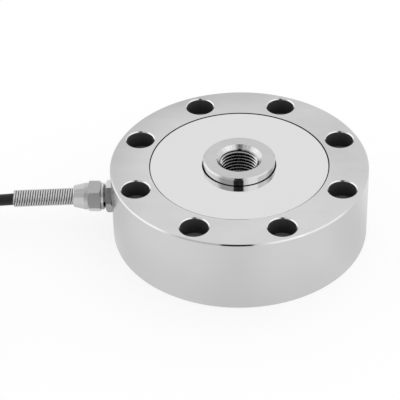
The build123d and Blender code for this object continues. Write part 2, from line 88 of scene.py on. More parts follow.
swing = Matrix.Rotation(-CAMERA_AZIMUTH, 3, "Z")
right = swing @ Vector((1, 0, 0))
up = swing @ Vector((0, sin(CAMERA_ELEVATION), cos(CAMERA_ELEVATION)))
forward = swing @ Vector((0, cos(CAMERA_ELEVATION), -sin(CAMERA_ELEVATION)))
camera_x = right * cos(CAMERA_ROLL) - up * sin(CAMERA_ROLL)
camera_y = right * sin(CAMERA_ROLL) + up * cos(CAMERA_ROLL)
camera_place = right * AIM_RIGHT + up * AIM_UP - forward * CAMERA_DISTANCE

camera_data = bpy.data.cameras.new("camera")
camera_data.sensor_width = SENSOR_WIDTH
camera_data.lens = FOCAL_PIXELS * SENSOR_WIDTH / IMAGE_WIDTH
camera_data.clip_start = 0.01
camera = bpy.data.objects.new("camera", camera_data)
scene.collection.objects.link(camera)
camera.matrix_world = Matrix((camera_x, camera_y, -forward)).transposed().to_4x4()
camera.location = camera_place
scene.camera = camera
scene.view_settings.view_transform = "Standard"
print("Camera at", [round(value, 3) for value in camera_place], "lens", round(camera_data.lens, 1), "mm")

# %% [markdown]
# ## Cable
#
# Three metres of screened cable, 4.8 mm thick. The picture shows only its first centimetre, so the rest is put away
# beside the cell: it sags to the table and is wound into a neat coil, four turns wide and four high. Its end climbs
# out of the top layer and lies on the coil, where its cores are bared.
#
# The cable is one open NURBS spline. Each turn takes sixteen points on a circle a little larger than the turn,
# because a spline of order 3 touches the middle of each side between its points.

# %% Cable route out of the gland
GLAND_HEIGHT = 15.5 * MM
GLAND_SEAT = Vector((-51.95 * MM, 0, GLAND_HEIGHT))
SPRING_START = Vector((-64.55 * MM, 0, GLAND_HEIGHT))
SPRING_DROOP = radians(2.6)
SPRING_LENGTH = 28.56 * MM
SPRING_MOUTH_DEPTH = 2 * MM
EXIT_SAG = 0.12 * MM
COIL_FLOOR = 3.2 * MM
LEAD_REACH = 58.4 * MM
LEAD_DRIFT = 13.7 * MM

droop = Vector((-cos(SPRING_DROOP), 0, -sin(SPRING_DROOP)))
cable_exit = SPRING_START + droop * (SPRING_LENGTH - SPRING_MOUTH_DEPTH) - Vector((0, 0, EXIT_SAG))
lead_route = [cable_exit]
for reach, sag in ((3, 0.32), (15, 0.62)):
    lead_route.append(cable_exit + droop * reach * MM - Vector((0, 0, sag * MM)))
for reach, drift, height in (
    (0.418, 0.088, 0.71 * GLAND_HEIGHT),
    (0.623, 0.321, 0.445 * GLAND_HEIGHT),
    (0.812, 0.628, COIL_FLOOR),
    (1.0, 1.0, COIL_FLOOR),
):
    lead_route.append(Vector((cable_exit.x - reach * LEAD_REACH, -drift * LEAD_DRIFT, height)))
print("The cable leaves the spring at", [round(value / MM, 1) for value in cable_exit], "mm")

# %% Place of the coil
CABLE_DIAMETER = 4.8 * MM
TURN_PITCH = 4.9 * MM
TURN_COUNT = 16
COLUMN_COUNT = 4
COIL_MID_RADIUS = 28 * MM
PORT_LENGTH = 19 * MM

coil_heading = (lead_route[-1] - lead_route[-2]).normalized()
outer_turn_radius = COIL_MID_RADIUS + (COLUMN_COUNT - 1) / 2 * TURN_PITCH
coil_entry = lead_route[-1] + coil_heading * PORT_LENGTH
coil_centre = coil_entry + Vector((-coil_heading.y, coil_heading.x, 0)) * outer_turn_radius
entry_angle = degrees(atan2(coil_entry.y - coil_centre.y, coil_entry.x - coil_centre.x))


def on_coil(radius, angle, height):
    """A point by its radius and its angle in degrees from the cable's entry, about the coil's axis."""
    direction = radians(entry_angle + angle)
    return Vector((coil_centre.x + radius * cos(direction), coil_centre.y + radius * sin(direction), height))


print("Middle of the coil at", [round(value / MM, 1) for value in coil_centre], "mm")

# %% Turns of the coil
POINTS_PER_TURN = 16
LAST_TURN_END = -80.0
CHANGE_SHARE = 0.4


def smooth_step(share):
    """0 to 1, gently at both ends."""
    share = min(max(share, 0.0), 1.0)
    return share * share * (3 - 2 * share)


def turn_place(turn):
    """The column and the layer of a whole turn. The columns go inwards, then outwards on the next layer."""
    turn = min(turn, TURN_COUNT - 1)
    layer, column = divmod(turn, COLUMN_COUNT)
    return (column if layer % 2 == 0 else COLUMN_COUNT - 1 - column), layer


circle_share = cos(pi / POINTS_PER_TURN)
step_angle = 360 / POINTS_PER_TURN
coil_route = []
angle = -step_angle / 2
while angle < TURN_COUNT * 360 + LAST_TURN_END - step_angle / 4:
    turn, share = divmod(max(angle, 0) / 360, 1)
    column, layer = turn_place(int(turn))
    next_column, next_layer = turn_place(int(turn) + 1)
    change = smooth_step((share - 1 + CHANGE_SHARE) / CHANGE_SHARE)
    column += (next_column - column) * change
    layer += (next_layer - layer) * change
    radius = outer_turn_radius - column * TURN_PITCH
    coil_route.append(on_coil(radius / circle_share, angle, COIL_FLOOR + layer * TURN_PITCH))
    angle += step_angle
print("Points on the coil:", len(coil_route))

# %% End of the cable on the coil
COIL_TOP = 20.4 * MM
CLIMB_RADIUS = 33 * MM
CLIMB_ANGLE = -50
CLIMB_HEIGHT = COIL_FLOOR + 3 * TURN_PITCH + 1.3 * MM
TAIL_RADIUS = 29 * MM
TAIL_HEIGHT = COIL_TOP + CABLE_DIAMETER / 2 + 0.05 * MM
TAIL_START = -20
TAIL_STEP = 30.0
TAIL_CORNERS = 4
TAIL_END = 85
TAIL_STUB = 7 * MM

tail_corner_radius = TAIL_RADIUS / cos(radians(TAIL_STEP / 2))
end_route = [on_coil(CLIMB_RADIUS, CLIMB_ANGLE, CLIMB_HEIGHT)]
for step in range(TAIL_CORNERS):
    end_route.append(on_coil(tail_corner_radius, TAIL_START + TAIL_STEP * step, TAIL_HEIGHT))
tail_direction = radians(entry_angle + TAIL_END + 90)
tail_heading = Vector((cos(tail_direction), sin(tail_direction), 0))
end_route.append(on_coil(TAIL_RADIUS, TAIL_END, TAIL_HEIGHT) + tail_heading * TAIL_STUB)
cable_route = lead_route + coil_route + end_route
print("Cable points:", len(cable_route))

# %% [markdown]
# ## Cable as a curve
#
# A cable could be a mesh tube, but a curve with a round bevel is easier to change and says at once what it is. The
# points of the route become the control points of one NURBS spline, which runs smoothly past them. The bevel's depth
# is the cable's radius.

# %% Cable curve
cable_curve = bpy.data.curves.new("cable", "CURVE")
cable_curve.dimensions = "3D"
cable_spline = cable_curve.splines.new("NURBS")
cable_spline.points.add(len(cable_route) - 1)
for point, place in zip(cable_spline.points, cable_route):
    point.co = (*place, 1)
cable_spline.order_u = 3
cable_spline.use_endpoint_u = True
cable_spline.resolution_u = 6
cable_curve.bevel_depth = CABLE_DIAMETER / 2
cable_curve.bevel_resolution = 5
cable_curve.use_fill_caps = True
cable = bpy.data.objects.new("cable", cable_curve)
scene.collection.objects.link(cable)
print("Cable:", round(CABLE_DIAMETER / MM, 1), "mm thick,", len(cable_spline.points), "control points")

# %% [markdown]
# ## Turned pieces
#
# Nearly everything on a load cell comes off a lathe, so one helper does most of the work: it takes the outline of
# half the piece, as pairs of radius and height, and spins it once round the Z axis. Holes, flats and pockets are
# then cut with a Boolean modifier that is applied at once. Blender's own cylinders and cones would need as many cuts
# as the outline has corners.
#
# Polished metal shows every facet, so each piece is shaded smooth, and only edges sharper than a set angle stay
# sharp. Real machined edges are broken by a tenth of a millimetre, which catches a thin bright line.

# %% Spinning an outline


def outline_mesh(outline, steps, angle=2 * pi, rise=0.0):
    """The outline of radius and height in millimetres, spun round Z. A rise per step makes it a helix."""
    shape = bmesh.new()
    corners = [shape.verts.new((radius * MM, 0, height * MM)) for radius, height in outline]
    sides = [shape.edges.new(pair) for pair in zip(corners, corners[1:] + corners[:1])]
    closed_turn = rise == 0.0
    caps = [] if closed_turn else [shape.faces.new(corners)]
    bmesh.ops.spin(
        shape,
        geom=corners + sides + caps,
        cent=(0, 0, 0),
        axis=(0, 0, 1),
        dvec=(0, 0, rise * MM),
        angle=angle,
        steps=steps,
        use_merge=closed_turn,
        use_duplicate=False,
    )
    bmesh.ops.remove_doubles(shape, verts=shape.verts, dist=1e-7)
    bmesh.ops.recalc_face_normals(shape, faces=shape.faces)
    return shape


def helix_mesh(outline, pitch, turns, steps):
    """The outline wound round Z, with a pitch in millimetres and a number of steps per turn."""
    return outline_mesh(outline, steps * turns, 2 * pi * turns, pitch / steps)


print("An outline can be spun in a ring or in a helix")

# %% From a mesh in the making to a piece


def make_piece(name, shape):
    """Makes an object of a bmesh, at the origin, with its place in its mesh."""
    mesh = bpy.data.meshes.new(name)
    shape.to_mesh(mesh)
    shape.free()
    piece = bpy.data.objects.new(name, mesh)
    scene.collection.objects.link(piece)
    return piece


def turned(name, outline, steps):
    """A ring-shaped piece from half its section."""
    return make_piece(name, outline_mesh(outline, steps))


def apply_modifiers(piece):
    """Replaces the mesh by what the modifiers make of it."""
    bpy.context.view_layer.update()
    graph = bpy.context.evaluated_depsgraph_get()
    finished = bpy.data.meshes.new_from_object(piece.evaluated_get(graph))
    piece.modifiers.clear()
    piece.data = finished


def carve(piece, tool, operation="DIFFERENCE"):
    """Cuts the tool out of the piece, or keeps only what both share, and removes the tool."""
    modifier = piece.modifiers.new("carve", "BOOLEAN")
    modifier.operation = operation
    modifier.solver = "EXACT"
    modifier.object = tool
    apply_modifiers(piece)
    bpy.data.objects.remove(tool)


def join(name, pieces):
    """Joins separate shells in one object."""
    shape = bmesh.new()
    for piece in pieces:
        shape.from_mesh(piece.data)
        bpy.data.objects.remove(piece)
    return make_piece(name, shape)


print("Tools can be cut out of a piece, or kept as what both share")

# %% Broken and smooth edges
SHARP_ANGLE = radians(28)


def edge_finish(piece, break_width=0.0):
    """Breaks the sharp edges, where a width in millimetres is given, and shades all but sharp edges smooth."""
    shape = bmesh.new()
    shape.from_mesh(piece.data)
    bmesh.ops.dissolve_degenerate(shape, dist=1e-6, edges=shape.edges)
    if break_width:
        sharp = [edge for edge in shape.edges if edge.is_manifold and edge.calc_face_angle() > SHARP_ANGLE]
        bmesh.ops.bevel(
            shape,
            geom=sharp,
            offset=break_width * MM,
            affect="EDGES",
            segments=2,
            profile=0.5,
            material=-1,
            clamp_overlap=True,
        )
    for face in shape.faces:
        face.smooth = True
    for edge in shape.edges:
        edge.smooth = edge.is_manifold and edge.calc_face_angle() < SHARP_ANGLE
    shape.to_mesh(piece.data)
    shape.free()
    return piece


def moved(shape, place):
    """Moves or shears a bmesh by a matrix."""
    bmesh.ops.transform(shape, matrix=place, verts=shape.verts)
    return shape


print("Edges stay sharp from", round(degrees(SHARP_ANGLE)), "degrees")

# %% [markdown]
# ## Sensing body
#
# Ring, hub and spokes are one piece of steel, so they are one mesh here too. The outline below is half a section
# through the real body: hub with its countersunk hole, web, cavities, seats of the covers and the ring with its
# broken edges. It is spun in 192 steps, which leaves the rim of a 105 mm disc round at any distance.

# %% Outline of the sensing body
BODY_RADIUS = 52.4
BODY_HEIGHT = 31.8
LOADING_HEIGHT = 34.9
HUB_RADIUS = 14.6
THREAD_RADIUS = 8.0
SEAT_RADIUS = 36.5
COVER_RECESS = 0.25
COVER_THICKNESS = 1.0
SEAT_DEPTH = COVER_RECESS + COVER_THICKNESS
CAVITY_RADIUS = 34.2
WEB_FLOOR = SEAT_DEPTH + 4.6
WEB_TOP = BODY_HEIGHT - WEB_FLOOR
RIM_STEPS = 192
HUB_FOOT = 0.8
COUNTERSINK = 1.4
RING_BREAK = 0.5
HUB_BREAK = 0.6

sensing_body = turned(
    "sensing_body_finish",
    [
        (THREAD_RADIUS, HUB_FOOT + COUNTERSINK),
        (THREAD_RADIUS + COUNTERSINK, HUB_FOOT),
        (HUB_RADIUS, HUB_FOOT),
        (HUB_RADIUS, WEB_FLOOR),
        (CAVITY_RADIUS, WEB_FLOOR),
        (CAVITY_RADIUS, SEAT_DEPTH),
        (SEAT_RADIUS, SEAT_DEPTH),
        (SEAT_RADIUS, 0),
        (BODY_RADIUS - RING_BREAK, 0),
        (BODY_RADIUS, RING_BREAK),
        (BODY_RADIUS, BODY_HEIGHT - RING_BREAK),
        (BODY_RADIUS - RING_BREAK, BODY_HEIGHT),
        (SEAT_RADIUS, BODY_HEIGHT),
        (SEAT_RADIUS, BODY_HEIGHT - SEAT_DEPTH),
        (CAVITY_RADIUS, BODY_HEIGHT - SEAT_DEPTH),
        (CAVITY_RADIUS, WEB_TOP),
        (HUB_RADIUS, WEB_TOP),
        (HUB_RADIUS, LOADING_HEIGHT - HUB_BREAK),
        (HUB_RADIUS - HUB_BREAK, LOADING_HEIGHT),
        (THREAD_RADIUS + COUNTERSINK, LOADING_HEIGHT),
        (THREAD_RADIUS, LOADING_HEIGHT - COUNTERSINK),
    ],
    RIM_STEPS,
)
print("Blank of the body:", BODY_RADIUS * 2, "mm across,", len(sensing_body.data.polygons), "faces")

# %% [markdown]
# ## Screw holes
#
# Eight socket screws hold the ring down, and their heads sink into counterbores. One hole's outline, with its shank,
# shoulder and broken rim, is spun once and copied round the bolt circle. It runs past both faces of the ring, so that
# the cut goes right through. A single Boolean then cuts all eight, which is quicker and cleaner than eight in a row.

# %% Screw holes
HOLE_COUNT = 8
HOLE_CIRCLE = 44.45
SHANK_RADIUS = 3.5
BORE_RADIUS = 5.65
BORE_FLOOR = 24.3
BORE_RIM = 0.42
HOLE_ANGLES = [radians(22.5 + 45 * hole) for hole in range(HOLE_COUNT)]

hole_tools = bmesh.new()
one_hole = outline_mesh(
    [
        (0, -2),
        (SHANK_RADIUS, -2),
        (SHANK_RADIUS, BORE_FLOOR),
        (BORE_RADIUS, BORE_FLOOR),
        (BORE_RADIUS, BODY_HEIGHT - BORE_RIM),
        (BORE_RADIUS + BORE_RIM + 1, BODY_HEIGHT + 1),
        (0, BODY_HEIGHT + 1),
    ],
    64,
)
hole_mesh = bpy.data.meshes.new("screw_hole")
one_hole.to_mesh(hole_mesh)
one_hole.free()
for hole_angle in HOLE_ANGLES:
    before = len(hole_tools.verts)
    hole_tools.from_mesh(hole_mesh)
    hole_tools.verts.ensure_lookup_table()
    place = Vector((cos(hole_angle), sin(hole_angle), 0)) * HOLE_CIRCLE * MM
    bmesh.ops.translate(hole_tools, vec=place, verts=hole_tools.verts[before:])
carve(sensing_body, make_piece("screw_holes", hole_tools))
print("Screw holes:", HOLE_COUNT, "on a circle of", HOLE_CIRCLE * 2, "mm")

# %% [markdown]
# ## Pockets, spokes and gauge recesses
#
# The hub hangs on four spokes between milled pockets. To get the pockets, two bars are cut out of a turned ring, and
# what is left of the ring is cut out of the body. Round recesses on both sides of each spoke leave a thin web, which
# shears by a hair under load, and there the strain gauges are glued. The covers hide all this, but the body is not
# the real thing without it.

# %% Pockets between the spokes
POCKET_INNER = 19.0
POCKET_OUTER = 32.0
SPOKE_WIDTH = 10.0
SPOKE_ANGLES = [radians(45 + 90 * spoke) for spoke in range(4)]
BAR_LENGTH = 90.0
BAR_HEIGHT = 60.0

pockets = turned(
    "pockets",
    [
        (POCKET_INNER, WEB_FLOOR - 1),
        (POCKET_OUTER, WEB_FLOOR - 1),
        (POCKET_OUTER, WEB_TOP + 1),
        (POCKET_INNER, WEB_TOP + 1),
    ],
    RIM_STEPS // 2,
)
for spoke_angle in SPOKE_ANGLES[:2]:
    bar = bmesh.new()
    size = Matrix.Diagonal((BAR_LENGTH * MM, SPOKE_WIDTH * MM, BAR_HEIGHT * MM, 1))
    bmesh.ops.create_cube(bar, size=1, matrix=Matrix.Rotation(spoke_angle, 4, "Z") @ size)
    carve(pockets, make_piece("spoke_bar", bar))
carve(sensing_body, pockets)
print("Pockets:", len(SPOKE_ANGLES), "from", POCKET_INNER, "to", POCKET_OUTER, "mm from the axis")

# %% Recesses for the gauges
GAUGE_RADIUS = 25.5
SHEAR_WEB = 2.4
RECESS_RADIUS = 6.0
RECESS_END = SPOKE_WIDTH / 2 + 0.5
recess_middle = (SHEAR_WEB / 2 + RECESS_END) / 2
recess_depth = RECESS_END - SHEAR_WEB / 2

recesses = bmesh.new()
for spoke_angle in SPOKE_ANGLES:
    for side in (-1, 1):
        bmesh.ops.create_cone(
            recesses,
            cap_ends=True,
            segments=40,
            radius1=RECESS_RADIUS * MM,
            radius2=RECESS_RADIUS * MM,
            depth=recess_depth * MM,
            matrix=Matrix.Rotation(spoke_angle, 4, "Z")
            @ Matrix.Translation(Vector((GAUGE_RADIUS, side * recess_middle, BODY_HEIGHT / 2)) * MM)
            @ Matrix.Rotation(pi / 2, 4, "X"),
        )
carve(sensing_body, make_piece("gauge_recesses", recesses))
print("Shear web between two recesses:", SHEAR_WEB, "mm")

# %% [markdown]
# ## Seat of the gland
#
# The ring's wall is round, so the gland needs a small flat to sit on, with a hole for its thread behind it and a
# narrow drilling for the cores of the cable. One stepped cutter makes all three, and the recess of the O-ring. It is
# spun upright, as every turned piece is, and a matrix lays it along the gland's axis with its Z pointing to -X.

# %% Seat of the gland
ALONG_GLAND = Matrix(((0, 0, -1, 0), (-1, 0, 0, 0), (0, 1, 0, 0), (0, 0, 0, 1)))
GLAND_PLACE = Matrix.Translation(GLAND_SEAT) @ ALONG_GLAND
DRILLING_RADIUS = 2.8
GLAND_HOLE_RADIUS = 4.0
GLAND_HOLE_END = -9.05
O_RING_RECESS_RADIUS = 5.5
O_RING_RECESS_FLOOR = -0.8
FLAT_RADIUS = 7.0

gland_seat_shape = outline_mesh(
    [
        (0, -31),
        (DRILLING_RADIUS, -31),
        (DRILLING_RADIUS, GLAND_HOLE_END),
        (GLAND_HOLE_RADIUS, GLAND_HOLE_END),
        (GLAND_HOLE_RADIUS, O_RING_RECESS_FLOOR),
        (O_RING_RECESS_RADIUS, O_RING_RECESS_FLOOR),
        (O_RING_RECESS_RADIUS, 0),
        (FLAT_RADIUS, 0),
        (FLAT_RADIUS, 3),
        (0, 3),
    ],
    64,
)
gland_seat_cut = moved(gland_seat_shape, GLAND_PLACE)
carve(sensing_body, make_piece("gland_seat", gland_seat_cut))
edge_finish(sensing_body)
print("Sensing body faces:", len(sensing_body.data.polygons))

# %% [markdown]
# ## Hub thread
#
# The hub has a metric thread with a pitch of 1.5 mm. Its ridge is a small trapezoid that climbs round the hole as a
# helix: the same spin, with a rise at each step. The ridge is let into the wall by a hair, and it fades into the
# wall at both ends, as a tapped thread does.

# %% Hub thread
THREAD_PITCH = 1.5
THREAD_CREST = 7.19
THREAD_STEPS = 48
THREAD_LOW = 1.7
THREAD_TURNS = 22
FOOT_HALF_WIDTH = 0.68
CREST_HALF_WIDTH = 0.19
thread_foot = THREAD_RADIUS + 0.06

ridge_shape = helix_mesh(
    [
        (thread_foot, THREAD_LOW - FOOT_HALF_WIDTH),
        (THREAD_CREST, THREAD_LOW - CREST_HALF_WIDTH),
        (THREAD_CREST, THREAD_LOW + CREST_HALF_WIDTH),
        (thread_foot, THREAD_LOW + FOOT_HALF_WIDTH),
    ],
    THREAD_PITCH,
    THREAD_TURNS,
    THREAD_STEPS,
)
thread_ridge = make_piece("thread_ridge", ridge_shape)

# Only what lies inside this barrel with two cones is left of the ridge
cone_low = HUB_FOOT + COUNTERSINK + 0.02
cone_high = LOADING_HEIGHT - COUNTERSINK - 0.02
barrel = turned(
    "thread_barrel",
    [
        (0, cone_low + THREAD_RADIUS),
        (THREAD_RADIUS + 0.2, cone_low - 0.2),
        (THREAD_RADIUS + 0.2, cone_high + 0.2),
        (0, cone_high - THREAD_RADIUS),
    ],
    THREAD_STEPS,
)
carve(thread_ridge, barrel, "INTERSECT")
edge_finish(thread_ridge)
print("Thread ridge faces:", len(thread_ridge.data.polygons))
body_finish = join("load_cell_body", [sensing_body, thread_ridge])

# %% [markdown]
# ## Cover discs
#
# The two discs are plain polished sheet with broken edges. They lie a quarter of a millimetre below the ring. The
# gap of 0.4 mm at the ring and at the hub shows as a thin dark line. The upper disc lies 0.08 mm off the middle of
# its seat, as the photo shows: the line is darker at the right and paler at the back left.

# %% Cover discs
COVER_OUTER = 36.1
COVER_INNER = 15.0
COVER_EDGE = 0.06
TOP_DISC_OFFSET = Vector((-0.07, 0.04, 0)) * MM


def cover_disc(name, underside):
    """A disc with a hole and broken edges, on a given height."""
    top = underside + COVER_THICKNESS
    return edge_finish(
        turned(
            name,
            [
                (COVER_INNER, underside + COVER_EDGE),
                (COVER_INNER + COVER_EDGE, underside),
                (COVER_OUTER - COVER_EDGE, underside),
                (COVER_OUTER, underside + COVER_EDGE),
                (COVER_OUTER, top - COVER_EDGE),
                (COVER_OUTER - COVER_EDGE, top),
                (COVER_INNER + COVER_EDGE, top),
                (COVER_INNER, top - COVER_EDGE),
            ],
            RIM_STEPS,
        )
    )


top_disc = cover_disc("top_disc", BODY_HEIGHT - SEAT_DEPTH)
top_disc.data.transform(Matrix.Translation(TOP_DISC_OFFSET))
bottom_disc = cover_disc("bottom_disc", COVER_RECESS)
print("Cover discs:", COVER_OUTER * 2, "mm across,", COVER_THICKNESS, "mm thick")

# %% [markdown]
# ## Cable gland
#
# The gland is a body with a thin hexagon, a neck and a collar, and a nut with a longer hexagon and a conical nose.
# Each starts as a turned blank as wide as the hexagon's corners. A ring with a six-sided hole then takes off the
# flats, which leaves the curved edge that every turned hexagon has. Smooth shading would bend the light over the
# flats, so a Weighted Normal modifier gives each flat its own straight normal.

# %% Hexagons
HEX_FLATS = 11.6
HEX_CORNER = HEX_FLATS / sqrt(3)
HEX_END = HEX_FLATS / 2 - 0.15
HEX_END_LENGTH = (HEX_CORNER - HEX_END) * tan(radians(30))
CUTTER_RADIUS = 9.0
CUTTER_MARGIN = 0.001
GLAND_EDGE_BREAK = 0.14


def hexagon_cutter(start, end, turn):
    """A ring with a six-sided hole, between two distances from the gland's seat."""
    ring = bmesh.new()
    middle = Matrix.Translation((0, 0, (start + end) / 2 * MM))
    length = (end - start + 2 * CUTTER_MARGIN) * MM
    bmesh.ops.create_cone(
        ring,
        cap_ends=True,
        segments=48,
        radius1=CUTTER_RADIUS * MM,
        radius2=CUTTER_RADIUS * MM,
        depth=length,
        matrix=middle,
    )
    cutter = make_piece("hexagon_cutter", ring)
    prism = bmesh.new()
    bmesh.ops.create_cone(
        prism,
        cap_ends=True,
        segments=6,
        radius1=HEX_CORNER * MM,
        radius2=HEX_CORNER * MM,
        depth=length * 2,
        matrix=middle @ Matrix.Rotation(radians(turn - 90), 4, "Z"),
    )
    carve(cutter, make_piece("hexagon_prism", prism))
    return cutter


def gland_piece(name, outline, hexagon_start, hexagon_end, turn):
    """A turned piece with six flats, turned by some degrees, laid along the gland's axis."""
    piece = turned(name, outline, 72)
    carve(piece, hexagon_cutter(hexagon_start, hexagon_end, turn))
    edge_finish(piece, GLAND_EDGE_BREAK)
    flats = piece.modifiers.new("flats", "WEIGHTED_NORMAL")
    flats.keep_sharp = True
    flats.weight = 100
    apply_modifiers(piece)
    piece.data.transform(GLAND_PLACE)
    return piece


print("Hexagon:", HEX_FLATS, "mm across its flats,", round(HEX_CORNER * 2, 1), "mm across its corners")

# %% Gland body
BORE = 2.65
THREAD_ROD = 3.95
THIN_HEX_END = 2.95
NECK_RADIUS = 4.8
NECK_END = 3.75
COLLAR_RADIUS = 5.55
COLLAR_END = 4.65
SLEEVE_RADIUS = 4.45
SLEEVE_END = 10.0
SLEEVE_BORE = 3.5
SLEEVE_FLOOR = 6.0
BODY_HEX_TURN = 7.4

gland_body = gland_piece(
    "gland_body_finish",
    [
        (BORE, -9),
        (THREAD_ROD, -9),
        (THREAD_ROD, 0),
        (HEX_END, 0),
        (HEX_CORNER, HEX_END_LENGTH),
        (HEX_CORNER, THIN_HEX_END - HEX_END_LENGTH),
        (HEX_END, THIN_HEX_END),
        (NECK_RADIUS, THIN_HEX_END),
        (NECK_RADIUS, NECK_END),
        (COLLAR_RADIUS, NECK_END),
        (COLLAR_RADIUS, COLLAR_END),
        (SLEEVE_RADIUS, COLLAR_END),
        (SLEEVE_RADIUS, SLEEVE_END),
        (SLEEVE_BORE, SLEEVE_END),
        (SLEEVE_BORE, SLEEVE_FLOOR),
        (BORE, SLEEVE_FLOOR),
    ],
    0,
    THIN_HEX_END,
    BODY_HEX_TURN,
)
print("Gland body faces:", len(gland_body.data.polygons))

# %% Gland nut
NUT_BORE = 4.5
NUT_START = 4.8
NUT_HEX_END = 10.15
NOSE_RADIUS = 5.5
NOSE_END = 16.35
SPRING_SEAT_RADIUS = 3.75
SPRING_SEAT_FLOOR = 12.4
NUT_BORE_END = 10.8
NUT_HEX_TURN = 47.4

gland_nut = gland_piece(
    "gland_nut_finish",
    [
        (NUT_BORE, NUT_START),
        (HEX_END, NUT_START),
        (HEX_CORNER, NUT_START + HEX_END_LENGTH),
        (HEX_CORNER, NUT_HEX_END - HEX_END_LENGTH),
        (HEX_END, NUT_HEX_END),
        (NOSE_RADIUS, NUT_HEX_END),
        (NOSE_RADIUS, 11.5),
        (5.44, 11.7),
        (4.55, 15.95),
        (4.15, NOSE_END),
        (SPRING_SEAT_RADIUS, NOSE_END),
        (SPRING_SEAT_RADIUS, SPRING_SEAT_FLOOR),
        (BORE, SPRING_SEAT_FLOOR),
        (BORE, NUT_BORE_END),
        (NUT_BORE, NUT_BORE_END),
    ],
    NUT_START,
    NUT_HEX_END,
    NUT_HEX_TURN,
)
print("Gland nut faces:", len(gland_nut.data.polygons))

# %% [markdown]
# ## Spring strain relief
#
# A close-wound spring of 1 mm wire keeps the cable from kinking at the nut. The wire's round section is spun with a
# rise, as the thread was. On this spring the turns are raked a little, as they come off a worn winding mandrel: a
# shear of the whole helix does that. A turned block then keeps what lies between two ends, as if they were ground
# flat, and the helix is laid along the drooping cable.

# %% Spring
SPRING_RADIUS = 3.05
SPRING_WIRE = 0.5
SPRING_TURNS = 30
SPRING_STEPS = 36
SPRING_PITCH = 1.02
SPRING_RAKE = 0.33
WIRE_SIDES = 12
WIRE_START = -1.0
END_BLOCK_RADIUS = 4.0
END_GAP = 0.02

wire_outline = []
for side in range(WIRE_SIDES):
    around = 2 * pi * side / WIRE_SIDES
    wire_outline.append((SPRING_RADIUS + SPRING_WIRE * cos(around), WIRE_START + SPRING_WIRE * sin(around)))
spring_shape = helix_mesh(wire_outline, SPRING_PITCH, SPRING_TURNS, SPRING_STEPS)
rake = Matrix.Identity(4)
rake[2][1] = -SPRING_RAKE
moved(spring_shape, rake)
spring_place = Matrix.Translation(SPRING_START) @ Matrix.Rotation(-SPRING_DROOP, 4, "Y") @ ALONG_GLAND
spring = make_piece("strain_relief_coil", spring_shape)
spring_end = SPRING_LENGTH / MM - END_GAP
end_block = [(0, END_GAP), (END_BLOCK_RADIUS, END_GAP), (END_BLOCK_RADIUS, spring_end), (0, spring_end)]
carve(spring, turned("spring_ends", end_block, 48), "INTERSECT")
edge_finish(spring)
spring.data.transform(spring_place)
print("Spring faces:", len(spring.data.polygons))

# %% [markdown]
# ## Writing materials as sums
#
# Shader nodes can be placed by hand, but a finish with twenty Math nodes is hard to read. Here a small class wraps a
# socket and lets it be added and multiplied like a number, so that a finish is written as a sum. One method adds any
# other node: its settings first, then the values or links of its sockets.

# %% A socket that can be used in sums


class Field:
    """A socket of a node tree that can be used in sums."""

    def __init__(self, tree, socket):
        self.tree = tree
        self.socket = socket

    def _math(self, operation, first, second):
        node = self.tree.nodes.new("ShaderNodeMath")
        node.operation = operation
        for socket, value in zip(node.inputs, (first, second)):
            if isinstance(value, Field):
                self.tree.links.new(value.socket, socket)
            else:
                socket.default_value = value
        return Field(self.tree, node.outputs[0])

    def __add__(self, other):
        return self._math("ADD", self, other)

    __radd__ = __add__

    def __sub__(self, other):
        return self._math("SUBTRACT", self, other)

    def __rsub__(self, other):
        return self._math("SUBTRACT", other, self)

    def __mul__(self, other):
        return self._math("MULTIPLY", self, other)

    __rmul__ = __mul__

    def __truediv__(self, other):
        return self._math("DIVIDE", self, other)

    def angle_from(self, other):
        return self._math("ARCTAN2", self, other)

    def elevation(self):
        return self._math("ARCSINE", self, 0.0)

    def sine(self):
        return self._math("SINE", self, 0.0)


print("Sums of sockets become Math nodes")

# %% A tree of nodes


